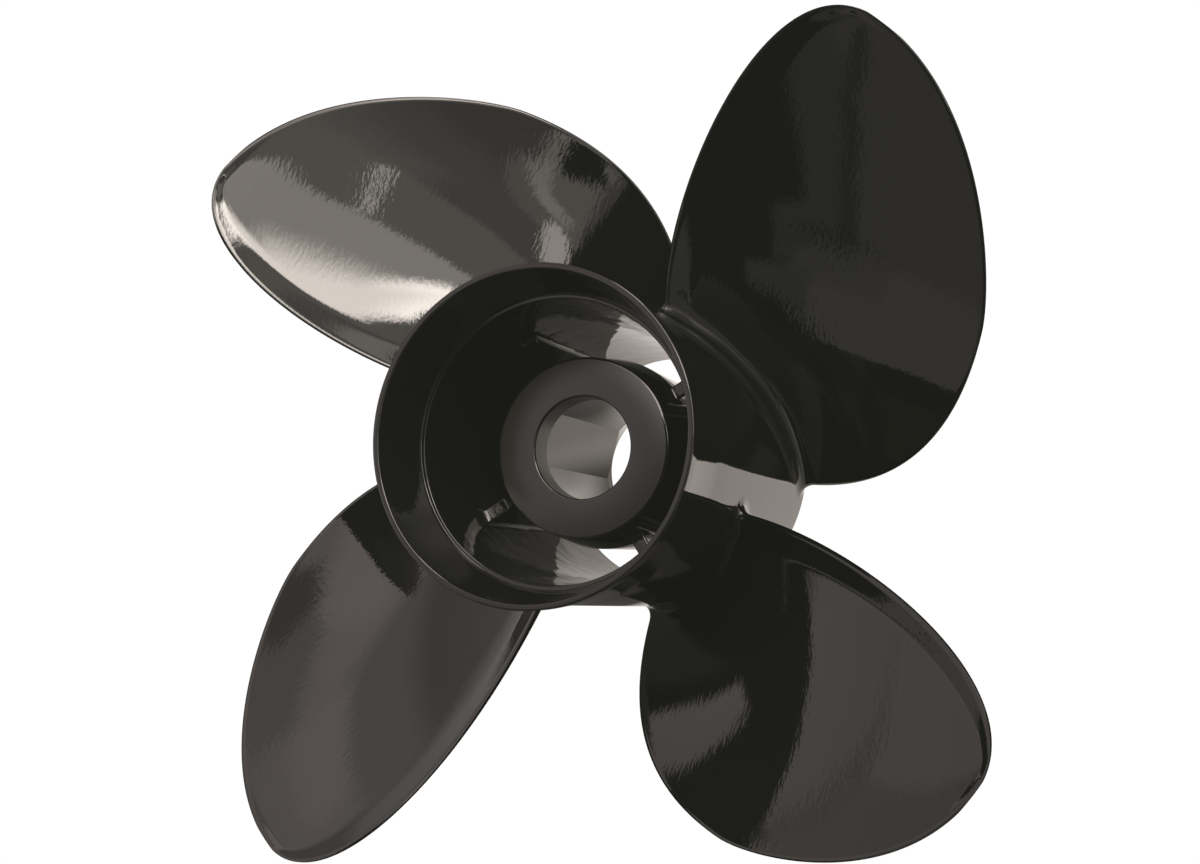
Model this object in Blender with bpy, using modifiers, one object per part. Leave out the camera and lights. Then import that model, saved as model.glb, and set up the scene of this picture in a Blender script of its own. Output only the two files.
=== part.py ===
"""Four-blade, right-hand ship propeller with exhaust passages through its hub.

One aluminium casting, modelled as its hub barrel, inner hub, four ribs and four blades.
Metres, +Z along the shaft towards the stern. The origin is on the shaft axis, in the plane
of the barrel's forward end, on which the propeller rests.
"""
import math

import bmesh
import bpy
from mathutils import Vector

# Driving dimensions, in metres and degrees
BLADE_COUNT = 4
GAP = 0.0003
CHAMFER = 0.001
SMOOTH_ANGLE = 40.0

# The casting's cores for the exhaust passages meet at this height, and draw out both ways
PARTING_Z = 0.0825

# Barrel: the outer tube of the hub, with a flared ring at its aft end
HUB_LENGTH = 0.155
BARREL_RADIUS = 0.0582
RING_RADIUS = 0.0603
RING_START_Z = 0.118
RIM_THICKNESS = 0.0022
RIM_SEGMENTS = 6
FLARE_SEGMENTS = 5
FLARE_POWER = 1.5
THROAT_RADIUS = 0.0516
THROAT_Z = 0.132
THROAT_LEDGE = 0.0016
PARTING_BORE_RADIUS = 0.0491
FORWARD_BORE_RADIUS = 0.0483
BARREL_STEPS = 96

# Inner hub: the tube that carries the drive sleeve
INNER_HUB_FORWARD_Z = 0.0036
INNER_HUB_AFT_Z = 0.106
INNER_HUB_AFT_RADIUS = 0.034
INNER_HUB_PARTING_RADIUS = 0.0367
INNER_HUB_FORWARD_RADIUS = 0.0345
BORE_RADIUS = 0.0191
LIP_LENGTH = 0.0115
SOCKET_FLAT_RADIUS = 0.021
SOCKET_CORNER_RADIUS = 0.0235
LEAD_IN_RADIUS = 0.028
LEAD_IN_LENGTH = 0.017
INNER_HUB_STEPS = 64

# Ribs: thin radial webs on the diagonals, between the inner hub and the barrel
RIB_THICKNESS = 0.0055
RIB_FORWARD_Z = 0.023
RIB_AFT_Z = 0.0987
RIB_ANGLE = 45.0

# Blades: a right-hand helicoid raked towards the stern
TIP_RADIUS = 0.1877
PITCH = 0.377
RAKE = 23.7
TIP_Z = 0.123
BLADE_PHASE = 65.5
ROOT_THICKNESS = 0.0095
TIP_THICKNESS = 0.0036
EDGE_THICKNESS = 0.0022
CUP_WIDTH = 0.014
CUP_HEIGHT = 0.0022
SECTION_FULLNESS = 0.8
ROOT_RADIUS = 0.050
TIP_CUT = 0.0004
CHORD_CELLS = 22
SPAN_CELLS = 15

# Blade outline as it is seen along the shaft with its tip on +X: cubic Bezier arcs
LEADING_ROOT_ARC = ((0.0298, -0.0478), (0.0574, -0.0967), (0.0958, -0.0939), (0.1230, -0.0848))
LEADING_TIP_ARC = ((0.1230, -0.0848), (0.1365, -0.0804), (0.1877, -0.0472), (0.1877, 0.0))
TRAILING_ARC = ((0.1877, 0.0), (0.1877, 0.0449), (0.0998, 0.0388), (0.0552, 0.0148))
ARC_SAMPLES = 200

BLACK_PAINT = (0.012, 0.012, 0.010, 1.0)
BLACK_PAINT_ROUGHNESS = 0.12
GREY_PAINT = (0.055, 0.048, 0.043, 1.0)
GREY_PAINT_ROUGHNESS = 0.45


def clear_scene():
    for item in list(bpy.data.objects):
        bpy.data.objects.remove(item, do_unlink=True)


def new_collection(name):
    group = bpy.data.collections.new(name)
    bpy.context.scene.collection.children.link(group)
    return group


def paint(name, colour, roughness):
    material = bpy.data.materials.new(name)
    material.use_nodes = True
    shader = material.node_tree.nodes["Principled BSDF"]
    shader.inputs["Base Color"].default_value = colour
    shader.inputs["Roughness"].default_value = roughness
    shader.inputs["Metallic"].default_value = 0.0
    return material


def add_object(name, mesh, group, material=None):
    piece = bpy.data.objects.new(name, mesh)
    group.objects.link(piece)
    if material:
        mesh.materials.append(material)
    return piece


def mesh_from(bm, name):
    mesh = bpy.data.meshes.new(name)
    bm.to_mesh(mesh)
    bm.free()
    return mesh


def turned_mesh(name, profile):
    """A closed profile of (radius, z) points, which runs down its outer side."""
    bm = bmesh.new()
    points = [bm.verts.new((radius, 0.0, z)) for radius, z in profile]
    for start, end in zip(points, points[1:] + points[:1]):
        bm.edges.new((start, end))
    return mesh_from(bm, name)


def add_screw(piece, steps):
    screw = piece.modifiers.new("turn", "SCREW")
    screw.steps = steps
    screw.render_steps = steps
    screw.use_merge_vertices = True
    screw.merge_threshold = 0.00001
    screw.use_smooth_shade = True


def smooth(piece):
    piece.data.shade_smooth()
    piece.data.set_sharp_from_angle(angle=math.radians(SMOOTH_ANGLE))


def add_cut(piece, cutter, operation="DIFFERENCE"):
    cut = piece.modifiers.new(cutter.name, "BOOLEAN")
    cut.operation = operation
    cut.solver = "EXACT"
    cut.object = cutter


def hide_cutter(cutter):
    cutter.hide_render = True
    cutter.display_type = "WIRE"


def drafted_radius(z, stations):
    """The radius at height z of a wall that runs straight between (radius, z) stations."""
    for (low_radius, low), (high_radius, high) in zip(stations, stations[1:]):
        if z <= high:
            break
    return low_radius + (high_radius - low_radius) * (z - low) / (high - low)


def barrel_bore_radius(z):
    """The barrel's bore narrows from the throat to the parting, and a little more to its forward end."""
    stations = ((FORWARD_BORE_RADIUS, 0.0), (PARTING_BORE_RADIUS, PARTING_Z), (THROAT_RADIUS, THROAT_Z))
    return drafted_radius(z, stations)


def inner_hub_radius(z):
    """The inner hub is thickest at the parting and tapers to both of its ends."""
    stations = (
        (INNER_HUB_FORWARD_RADIUS, INNER_HUB_FORWARD_Z),
        (INNER_HUB_PARTING_RADIUS, PARTING_Z),
        (INNER_HUB_AFT_RADIUS, INNER_HUB_AFT_Z),
    )
    return drafted_radius(z, stations)


def rim_arc():
    """The rounded aft edge of the ring, from its inner side over to its outer side."""
    rounding = RIM_THICKNESS / 2
    centre_radius = RING_RADIUS - rounding
    points = []
    for step in range(RIM_SEGMENTS + 1):
        angle = math.pi * (1 - step / RIM_SEGMENTS)
        radius = centre_radius + rounding * math.cos(angle)
        points.append((radius, HUB_LENGTH - rounding + rounding * math.sin(angle)))
    return points


def ring_wall():
    """The outer side of the flared ring, down to the straight barrel."""
    top = HUB_LENGTH - RIM_THICKNESS / 2
    points = []
    for step in range(1, FLARE_SEGMENTS + 1):
        share = 1 - step / FLARE_SEGMENTS
        radius = BARREL_RADIUS + (RING_RADIUS - BARREL_RADIUS) * share**FLARE_POWER
        points.append((radius, RING_START_Z + (top - RING_START_Z) * share))
    return points


def barrel_profile():
    forward_end = [
        (BARREL_RADIUS, CHAMFER),
        (BARREL_RADIUS - CHAMFER, 0.0),
        (FORWARD_BORE_RADIUS + CHAMFER, 0.0),
        (barrel_bore_radius(CHAMFER), CHAMFER),
        (PARTING_BORE_RADIUS, PARTING_Z),
    ]
    throat = [
        (THROAT_RADIUS, THROAT_Z),
        (THROAT_RADIUS + THROAT_LEDGE / 2, THROAT_Z + THROAT_LEDGE / 4),
        (THROAT_RADIUS + THROAT_LEDGE, THROAT_Z + THROAT_LEDGE),
    ]
    return rim_arc() + ring_wall() + forward_end + throat


def make_barrel(group, material):
    barrel = add_object("hub_barrel", turned_mesh("hub_barrel", barrel_profile()), group, material)
    add_screw(barrel, BARREL_STEPS)
    return barrel


def inner_hub_profile():
    edge = CHAMFER / 2
    lead_in_end = INNER_HUB_FORWARD_Z + LEAD_IN_LENGTH
    return [
        (INNER_HUB_AFT_RADIUS - edge, INNER_HUB_AFT_Z),
        (inner_hub_radius(INNER_HUB_AFT_Z - edge), INNER_HUB_AFT_Z - edge),
        (INNER_HUB_PARTING_RADIUS, PARTING_Z),
        (inner_hub_radius(INNER_HUB_FORWARD_Z + edge), INNER_HUB_FORWARD_Z + edge),
        (INNER_HUB_FORWARD_RADIUS - edge, INNER_HUB_FORWARD_Z),
        (LEAD_IN_RADIUS, INNER_HUB_FORWARD_Z),
        (SOCKET_CORNER_RADIUS + CHAMFER, lead_in_end),
        (BORE_RADIUS, lead_in_end),
        (BORE_RADIUS, INNER_HUB_AFT_Z),
    ]


def make_socket_cutter(group):
    """The square drive socket: four flats along X and Y, with its corners turned round."""
    bottom = INNER_HUB_FORWARD_Z + LEAD_IN_LENGTH - CHAMFER
    top = INNER_HUB_AFT_Z - LIP_LENGTH
    bm = bmesh.new()
    bmesh.ops.create_cone(
        bm, cap_ends=True, segments=INNER_HUB_STEPS, radius1=1.0, radius2=1.0, depth=top - bottom
    )
    for vert in bm.verts:
        flat = SOCKET_FLAT_RADIUS / max(abs(vert.co.x), abs(vert.co.y))
        radius = min(flat, SOCKET_CORNER_RADIUS)
        vert.co.x *= radius
        vert.co.y *= radius
        vert.co.z += (top + bottom) / 2
    cutter = add_object("socket_cutter", mesh_from(bm, "socket_cutter"), group)
    hide_cutter(cutter)
    return cutter


def make_inner_hub(group, material, socket_cutter):
    hub = add_object("inner_hub", turned_mesh("inner_hub", inner_hub_profile()), group, material)
    add_screw(hub, INNER_HUB_STEPS)
    add_cut(hub, socket_cutter)
    return hub


def make_turned_cutter(name, group, profile, steps):
    cutter = add_object(name, turned_mesh(name, profile), group)
    add_screw(cutter, steps)
    hide_cutter(cutter)
    return cutter


def solid_profile(radius_at, low, high, offset):
    """A solid of revolution inside radius_at, grown by offset, from low to high."""
    wall = [(radius_at(z) + offset, z) for z in (high, PARTING_Z, low)]
    return [(0.0, high), *wall, (0.0, low)]


def rib_mesh():
    """A flat bar from inside the inner hub to inside the barrel's wall, before it is trimmed."""
    inner = BORE_RADIUS
    outer = BARREL_RADIUS
    size = Vector((outer - inner, RIB_THICKNESS, RIB_AFT_Z - RIB_FORWARD_Z))
    centre = Vector(((outer + inner) / 2, 0.0, (RIB_AFT_Z + RIB_FORWARD_Z) / 2))
    bm = bmesh.new()
    bmesh.ops.create_cube(bm, size=1.0)
    bmesh.ops.scale(bm, vec=size, verts=bm.verts)
    bmesh.ops.translate(bm, vec=centre, verts=bm.verts)
    return mesh_from(bm, "rib")


def make_ribs(group, material, hub_cutter, bore_cutter):
    mesh = rib_mesh()
    mesh.materials.append(material)
    for number in range(BLADE_COUNT):
        rib = add_object(f"rib_{number + 1}", mesh, group)
        rib.rotation_euler.z = math.radians(RIB_ANGLE + number * 360 / BLADE_COUNT)
        add_cut(rib, hub_cutter)
        add_cut(rib, bore_cutter, "INTERSECT")


def bezier(arc, share):
    rest = 1 - share
    weights = (rest**3, 3 * rest**2 * share, 3 * rest * share**2, share**3)
    return [sum(weight * point[axis] for weight, point in zip(weights, arc)) for axis in (0, 1)]


def edge_angles(arcs):
    """Points (radius, angle) along an edge of the outline, in order of radius."""
    samples = []
    for arc in arcs:
        for step in range(ARC_SAMPLES + 1):
            x, y = bezier(arc, step / ARC_SAMPLES)
            samples.append((math.hypot(x, y), math.atan2(y, x)))
    return sorted(samples)


def angle_at(samples, radius):
    if radius <= samples[0][0]:
        return samples[0][1]
    for (low, start), (high, end) in zip(samples, samples[1:]):
        if low <= radius <= high and high > low:
            return start + (end - start) * (radius - low) / (high - low)
    return samples[-1][1]


def helicoid_height(radius, angle):
    """Height of the raked helicoid that runs through the middle of the blade's edges."""
    rise = (radius - TIP_RADIUS) * math.tan(math.radians(RAKE))
    return TIP_Z + rise + PITCH * angle / math.tau


def hollow_and_cup(share, edge_distance):
    """The aft face is hollowed slightly along its chord and cupped at its trailing edge."""
    cup = max(0.0, 1 - edge_distance / CUP_WIDTH)
    return CUP_HEIGHT * (cup**2 - share**2)


def section_thickness(radius, share):
    span = (TIP_RADIUS - radius) / (TIP_RADIUS - BARREL_RADIUS)
    middle = TIP_THICKNESS + (ROOT_THICKNESS - TIP_THICKNESS) * min(span, 1.0)
    fullness = (4 * share * (1 - share)) ** SECTION_FULLNESS
    return EDGE_THICKNESS + (middle - EDGE_THICKNESS) * fullness


def forward_normal(radius):
    """Unit vector (around, along) square to the helicoid, pointing forward."""
    slope = PITCH / (math.tau * radius)
    length = math.hypot(slope, 1.0)
    return slope / length, -1 / length


def section_points(radius, leading, trailing):
    """The aft and forward points of one blade section, at one radius, from its leading edge."""
    aft, forward = [], []
    around, along = forward_normal(radius)
    chord = radius * (trailing - leading)
    for cell in range(CHORD_CELLS + 1):
        share = (1 - math.cos(math.pi * cell / CHORD_CELLS)) / 2
        angle = leading + share * (trailing - leading)
        height = helicoid_height(radius, angle) + hollow_and_cup(share, chord * (1 - share))
        for side, depth in ((aft, 0.0), (forward, section_thickness(radius, share))):
            offset = depth - EDGE_THICKNESS / 2
            turned = angle + around * offset / radius
            z = height + along * offset
            side.append(Vector((radius * math.cos(turned), radius * math.sin(turned), z)))
    return aft, forward


def bridge(bm, lower, upper):
    """Faces between two closed loops of vertices."""
    count = len(lower)
    for index in range(count):
        following = (index + 1) % count
        bm.faces.new((lower[index], lower[following], upper[following], upper[index]))


def blade_mesh():
    """A blade lofted through its sections, from inside the barrel out to the tip."""
    leading_edge = edge_angles((LEADING_ROOT_ARC, LEADING_TIP_ARC))
    trailing_edge = edge_angles((TRAILING_ARC,))
    bm = bmesh.new()
    loops = []
    for cell in range(SPAN_CELLS + 1):
        share = math.sin(math.pi / 2 * cell / SPAN_CELLS)
        radius = ROOT_RADIUS + (TIP_RADIUS - TIP_CUT - ROOT_RADIUS) * share
        leading, trailing = angle_at(leading_edge, radius), angle_at(trailing_edge, radius)
        aft, forward = section_points(radius, leading, trailing)
        loops.append([bm.verts.new(point) for point in aft + forward[::-1]])
    for lower, upper in zip(loops, loops[1:]):
        bridge(bm, lower, upper)
    close_ends(bm, loops[0], loops[-1])
    bmesh.ops.recalc_face_normals(bm, faces=bm.faces)
    return mesh_from(bm, "blade")


def close_ends(bm, root, tip):
    """Strips of quads from the aft to the forward side close the root and the tip."""
    half = len(root) // 2
    for loop in (root, tip):
        aft = loop[:half]
        forward = loop[half:][::-1]
        for index in range(half - 1):
            bm.faces.new((aft[index], aft[index + 1], forward[index + 1], forward[index]))


def make_blades(group, material, barrel_cutter):
    mesh = blade_mesh()
    mesh.materials.append(material)
    for number in range(BLADE_COUNT):
        blade = add_object(f"blade_{number + 1}", mesh, group)
        blade.rotation_euler.z = math.radians(BLADE_PHASE + number * 360 / BLADE_COUNT)
        add_cut(blade, barrel_cutter)
        smooth(blade)


def main():
    clear_scene()
    parts = new_collection("ship_propeller")
    cutters = new_collection("cutters")
    black = paint("black_paint", BLACK_PAINT, BLACK_PAINT_ROUGHNESS)
    grey = paint("grey_paint", GREY_PAINT, GREY_PAINT_ROUGHNESS)
    make_barrel(parts, black)
    make_inner_hub(parts, grey, make_socket_cutter(cutters))
    hub_cutter = make_turned_cutter(
        "inner_hub_cutter",
        cutters,
        solid_profile(inner_hub_radius, INNER_HUB_FORWARD_Z, INNER_HUB_AFT_Z, GAP),
        INNER_HUB_STEPS,
    )
    bore_cutter = make_turned_cutter(
        "barrel_bore_cutter", cutters, solid_profile(barrel_bore_radius, 0.0, THROAT_Z, -GAP), BARREL_STEPS
    )
    make_ribs(parts, black, hub_cutter, bore_cutter)
    barrel_cutter = make_turned_cutter(
        "barrel_cutter",
        cutters,
        solid_profile(lambda z: BARREL_RADIUS, -HUB_LENGTH, HUB_LENGTH, GAP),
        BARREL_STEPS,
    )
    make_blades(parts, black, barrel_cutter)


main()
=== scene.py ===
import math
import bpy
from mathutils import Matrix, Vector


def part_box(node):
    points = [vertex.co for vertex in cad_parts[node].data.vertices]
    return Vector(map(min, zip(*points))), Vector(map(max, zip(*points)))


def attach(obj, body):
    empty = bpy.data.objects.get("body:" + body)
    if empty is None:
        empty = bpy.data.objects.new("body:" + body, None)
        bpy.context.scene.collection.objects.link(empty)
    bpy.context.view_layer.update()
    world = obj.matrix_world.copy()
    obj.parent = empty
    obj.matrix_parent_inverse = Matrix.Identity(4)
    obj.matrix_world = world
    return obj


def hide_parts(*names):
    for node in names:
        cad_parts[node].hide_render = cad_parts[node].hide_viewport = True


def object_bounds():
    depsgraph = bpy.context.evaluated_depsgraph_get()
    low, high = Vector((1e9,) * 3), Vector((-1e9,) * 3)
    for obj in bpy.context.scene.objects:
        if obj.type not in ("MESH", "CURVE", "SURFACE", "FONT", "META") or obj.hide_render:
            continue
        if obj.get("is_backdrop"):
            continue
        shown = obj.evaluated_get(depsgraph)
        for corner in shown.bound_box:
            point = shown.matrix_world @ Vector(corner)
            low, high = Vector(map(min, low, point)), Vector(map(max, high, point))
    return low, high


bl_info = {
    "name": "Ship propeller",
    "version": (1, 0, 0),
    "blender": (4, 5, 0),
    "location": "3D View > Sidebar > Propeller",
    "description": "Dresses a cast four-blade propeller in gloss black paint on a white studio table",
    "category": "Object",
}

import bmesh
import bpy
import numpy as np
from mathutils import Matrix, Vector

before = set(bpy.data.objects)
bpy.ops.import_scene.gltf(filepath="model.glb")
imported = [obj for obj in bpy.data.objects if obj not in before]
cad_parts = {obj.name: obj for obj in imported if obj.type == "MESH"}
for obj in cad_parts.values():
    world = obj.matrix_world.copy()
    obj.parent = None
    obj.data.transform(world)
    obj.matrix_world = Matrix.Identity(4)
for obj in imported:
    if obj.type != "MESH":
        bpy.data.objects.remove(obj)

BODY = "root"
BLADES = ("blade_1", "blade_2", "blade_3", "blade_4")
RIBS = ("rib_1", "rib_2", "rib_3", "rib_4")

# Sizes read from the frame
BARREL_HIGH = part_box("hub_barrel")[1]
INNER_LOW, INNER_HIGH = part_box("inner_hub")
RIB_LOW, RIB_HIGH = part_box("rib_1")
RING_RADIUS = BARREL_HIGH.x
HUB_LENGTH = BARREL_HIGH.z
INNER_PARTING_RADIUS = INNER_HIGH.x
INNER_FORWARD_Z = INNER_LOW.z
INNER_AFT_Z = INNER_HIGH.z

# Barrel and ring: sizes that its box doesn't give, in metres
BARREL_RADIUS = 0.0582
FORWARD_CHAMFER = 0.001
FORWARD_BORE_RADIUS = 0.0483
PARTING_BORE_RADIUS = 0.0491
PARTING_Z = 0.0825
THROAT_RADIUS = 0.0516
THROAT_Z = 0.132
LEDGE_ROUNDING_SHARE = 0.34
LEDGE_RISE_SHARE = 0.04
RING_START_Z = 0.118
RING_FLARE = 1.5
RIM_THICKNESS = 0.0022
RIM_ROUNDING = 0.0006

# Inner hub, in metres and degrees
INNER_FORWARD_RADIUS = 0.0345
INNER_AFT_RADIUS = 0.034
FACE_CHAMFER_ANGLE = 17.5
FACE_EDGE_SHARE = 0.4
LIP_EDGE_SHARE = 0.5
BORE_RADIUS = 0.0191
LIP_LENGTH = 0.0115
LIP_ROUNDING = 0.0008
SOCKET_FLAT_RADIUS = 0.021
SOCKET_FLAT_ANGLE = 26.5
SOCKET_END_CHAMFER = 0.001
LEAD_IN_RADIUS = 0.028
LEAD_IN_LENGTH = 0.017
FACE_LEVEL = 0.99
LEEWAY = 0.0001

# Ribs, in metres and degrees
RIB_THICKNESS = 0.0055
RIB_ANGLE = 45.0
RIB_SHOULDER_RADIUS = 0.0364
RIB_SHOULDER_Z = 0.1020
RIB_SHOULDER_SLOPE = 1.2
RIB_SHOULDER_GAP = 0.00002
RIB_WALL_GAP = 0.00005

# Blades, in metres and degrees
TIP_RADIUS = 0.1877
TIP_CUT = 0.0004
TIP_Z = 0.123
EDGE_INSET = 0.00026
PITCH = 0.377
RAKE = 23.7
BLADE_PHASE = 65.5
ROOT_THICKNESS = 0.0095
TIP_THICKNESS = 0.0036
SECTION_FULLNESS = 0.8
CUP_FULL_CHORD = 0.1
SMALLEST_CUP_SHARE = 0.01
HOLLOW_FULL_CHORD = 0.042
LOWEST_FILLET_Z = 0.0012
SMALLEST_FILLET = 0.0005
SMALLEST_FALL = 1e-3
FILLET_SINK = 0.000005
ROOT_DEPTH = 0.0015
# The blade's outline seen along the shaft, as the corners of cubic curves
LEADING_ROOT_ARC = ((0.0298, -0.0478), (0.0574, -0.0967), (0.0958, -0.0939), (0.1230, -0.0848))
LEADING_TIP_ARC = ((0.1230, -0.0848), (0.1365, -0.0804), (0.1877, -0.0472), (0.1877, 0.0))
TRAILING_ARC = ((0.1877, 0.0), (0.1877, 0.0449), (0.0998, 0.0388), (0.0552, 0.0148))

# How finely the pieces are made
TURN_STEPS = 360
INNER_STEPS = 192
CORNER_SEGMENTS = 6
RING_CELLS = 14
RIB_SHOULDER_STATIONS = 6
RIB_FLAT_STATIONS = 8
RIB_HEIGHT_CELLS = 23
QUARTER = [math.pi / 2 * step / 8 for step in range(9)]
ARC_SAMPLES = 400
CHORD_CELLS = 120
SPAN_CELLS = 96
FILLET_CELLS = 12
MERGE_DISTANCE = 1e-7
MIRROR_MERGE_DISTANCE = 1e-6
BLADE_MERGE_DISTANCE = 2e-6


class HubSettings(bpy.types.PropertyGroup):
    ledge: bpy.props.FloatProperty(
        name="Throat ledge", description="Width of the ledge in the ring", default=0.0014, unit="LENGTH"
    )
    edge: bpy.props.FloatProperty(
        name="Edge rounding", description="Radius on the hub's machined edges", default=0.0005, unit="LENGTH"
    )
    face_chamfer: bpy.props.FloatProperty(
        name="Face chamfer", description="Width of the bevel round the inner hub's face", default=0.0009,
        unit="LENGTH",
    )
    rib_edge: bpy.props.FloatProperty(
        name="Rib edge", description="Radius on the long edges of a rib", default=0.0008, unit="LENGTH"
    )
    rib_fillet: bpy.props.FloatProperty(
        name="Rib fillet", description="Radius where a rib's aft end meets the tubes", default=0.0032,
        unit="LENGTH",
    )


class BladeSettings(bpy.types.PropertyGroup):
    edge: bpy.props.FloatProperty(
        name="Edge thickness", description="Thickness of the blade's rounded edge", default=0.0022,
        unit="LENGTH",
    )
    fillet: bpy.props.FloatProperty(
        name="Root fillet", description="Radius where a blade meets the barrel", default=0.007, unit="LENGTH"
    )
    cup_width: bpy.props.FloatProperty(
        name="Cup width", description="Width of the bent-up trailing edge", default=0.0085, unit="LENGTH"
    )
    cup_bend: bpy.props.FloatProperty(
        name="Cup bend", description="How gently the trailing edge bends up", default=0.0006, unit="LENGTH"
    )
    hollow: bpy.props.FloatProperty(
        name="Hollow", description="Depth of the aft face's hollow", default=0.0022, unit="LENGTH"
    )


class FinishSettings(bpy.types.PropertyGroup):
    paint: bpy.props.FloatVectorProperty(
        name="Paint", description="Colour of the baked paint", default=(0.0030, 0.0030, 0.0026), size=3,
        subtype="COLOR",
    )
    # The hub face is the same black paint; its lighter warm grey is a painted reflection of the room
    face: bpy.props.FloatVectorProperty(
        name="Hub face", description="Colour of the satin hub face", default=(0.0165, 0.0132, 0.0112), size=3,
        subtype="COLOR",
    )


class StageSettings(bpy.types.PropertyGroup):
    floor: bpy.props.FloatVectorProperty(
        name="Floor", description="Colour of the studio", default=(1.0, 1.0, 1.0), size=3, subtype="COLOR"
    )
    table: bpy.props.FloatVectorProperty(
        name="Table", description="Colour of the table's light", default=(1.0, 0.91, 0.85), size=3,
        subtype="COLOR",
    )
    glow: bpy.props.FloatProperty(name="Table glow", description="Radiance of the lit table", default=1.03)
    lens: bpy.props.FloatProperty(
        name="Lens", description="Focal length of the camera, in millimetres", default=50.1
    )


def settings():
    return bpy.context.scene.propeller


class PropellerSettings(bpy.types.PropertyGroup):
    hub: bpy.props.PointerProperty(type=HubSettings)
    blade: bpy.props.PointerProperty(type=BladeSettings)
    finish: bpy.props.PointerProperty(type=FinishSettings)
    stage: bpy.props.PointerProperty(type=StageSettings)


# Meshes


def place(bm, name, materials):
    mesh = bpy.data.meshes.new(name)
    bm.to_mesh(mesh)
    bm.free()
    for material in materials:
        mesh.materials.append(material)
    piece = bpy.data.objects.new(name, mesh)
    bpy.context.scene.collection.objects.link(piece)
    return piece


def smooth(piece, degrees):
    """Smooth shading, but sharp where two faces meet at more than the angle."""
    piece.data.shade_smooth()
    piece.data.set_sharp_from_angle(angle=math.radians(degrees))


def hand_over(piece, slot, *nodes):
    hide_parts(*nodes)
    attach(piece, BODY)


# The largest share of a side that a rounding takes, and how far past its arc a point is held, as a share of it
LONGEST_ROUNDING_SHARE = 0.45
HELD_SHARE = 0.3


def soften(corners):
    """Rounds a closed profile of (radius, z, rounding) corners, with a held point on each side of an arc."""
    points = []
    count = len(corners)
    for index, (radius, z, rounding) in enumerate(corners):
        here = Vector((radius, z))
        if rounding <= 0:
            points.append(here)
            continue
        back = Vector(corners[index - 1][:2]) - here
        ahead = Vector(corners[(index + 1) % count][:2]) - here
        half = back.angle(ahead) / 2
        room = min(back.length, ahead.length) * LONGEST_ROUNDING_SHARE
        reach = min(rounding / math.tan(half), room)
        back.normalize()
        ahead.normalize()
        start = here + back * reach
        end = here + ahead * reach
        held = reach * HELD_SHARE
        points.append(start + back * held)
        for step in range(CORNER_SEGMENTS + 1):
            share = step / CORNER_SEGMENTS
            points.append(start * (1 - share) ** 2 + here * (2 * share * (1 - share)) + end * share**2)
        points.append(end + ahead * held)
    return [(point.x, point.y) for point in points]


def turned(profile, steps):
    """Spins a closed (radius, z) profile once round the shaft axis."""
    bm = bmesh.new()
    points = [bm.verts.new((radius, 0.0, z)) for radius, z in profile]
    edges = [bm.edges.new(pair) for pair in zip(points, points[1:] + points[:1])]
    bmesh.ops.spin(
        bm, geom=points + edges, axis=(0, 0, 1), cent=(0, 0, 0), steps=steps, angle=math.tau, use_merge=True,
        use_duplicate=False,
    )
    bmesh.ops.remove_doubles(bm, verts=bm.verts, dist=MERGE_DISTANCE)
    bmesh.ops.recalc_face_normals(bm, faces=bm.faces)
    return bm


# Barrel


def barrel_bore_radius(z):
    heights = (0.0, PARTING_Z, THROAT_Z)
    return float(np.interp(z, heights, (FORWARD_BORE_RADIUS, PARTING_BORE_RADIUS, THROAT_RADIUS)))


def ring_wall():
    """Corners down the outer side of the flared ring."""
    top = HUB_LENGTH - RIM_THICKNESS
    corners = []
    for step in range(1, RING_CELLS + 1):
        share = 1 - step / RING_CELLS
        radius = BARREL_RADIUS + (RING_RADIUS - BARREL_RADIUS) * share**RING_FLARE
        corners.append((radius, RING_START_Z + (top - RING_START_Z) * share, 0.0))
    return corners


def barrel_profile():
    ledge = settings().hub.ledge
    rounding = ledge * LEDGE_ROUNDING_SHARE
    rim = [(RING_RADIUS - RIM_THICKNESS, HUB_LENGTH, RIM_ROUNDING), (RING_RADIUS, HUB_LENGTH, RIM_ROUNDING)]
    forward_end = [
        (BARREL_RADIUS, 0.0, FORWARD_CHAMFER),
        (FORWARD_BORE_RADIUS, 0.0, FORWARD_CHAMFER),
        (PARTING_BORE_RADIUS, PARTING_Z, 0.0),
    ]
    throat = [
        (THROAT_RADIUS, THROAT_Z, rounding),
        (THROAT_RADIUS + ledge, THROAT_Z + ledge * LEDGE_RISE_SHARE, rounding),
    ]
    return soften(rim + ring_wall() + forward_end + throat)


def barrel_zones(bm):
    """Material 0 is the paint outside and in the ring, 1 the paint on the rougher casting of the bore."""
    for face in bm.faces:
        middle = face.calc_center_median()
        if middle.z < THROAT_Z and math.hypot(middle.x, middle.y) < THROAT_RADIUS:
            face.material_index = 1


class PROPELLER_OT_barrel(bpy.types.Operator):
    """Makes the hub's outer tube, with its flared ring"""

    bl_idname = "propeller.barrel"
    bl_label = "Barrel"

    def execute(self, context):
        bm = turned(barrel_profile(), TURN_STEPS)
        barrel_zones(bm)
        barrel = place(bm, "barrel", [gloss_paint(), cast_paint()])
        smooth(barrel, 30.0)
        hand_over(barrel, "black_paint", "hub_barrel")
        return {"FINISHED"}


# Inner hub


def inner_radius(z):
    heights = (INNER_FORWARD_Z, PARTING_Z, INNER_AFT_Z)
    return float(np.interp(z, heights, (INNER_FORWARD_RADIUS, INNER_PARTING_RADIUS, INNER_AFT_RADIUS)))


def socket_corner_radius():
    """The flats end on a whole number of turning steps, so that their edges stay crisp."""
    steps = round(math.radians(SOCKET_FLAT_ANGLE) / (math.tau / INNER_STEPS))
    return SOCKET_FLAT_RADIUS / math.cos(steps * math.tau / INNER_STEPS)


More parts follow.
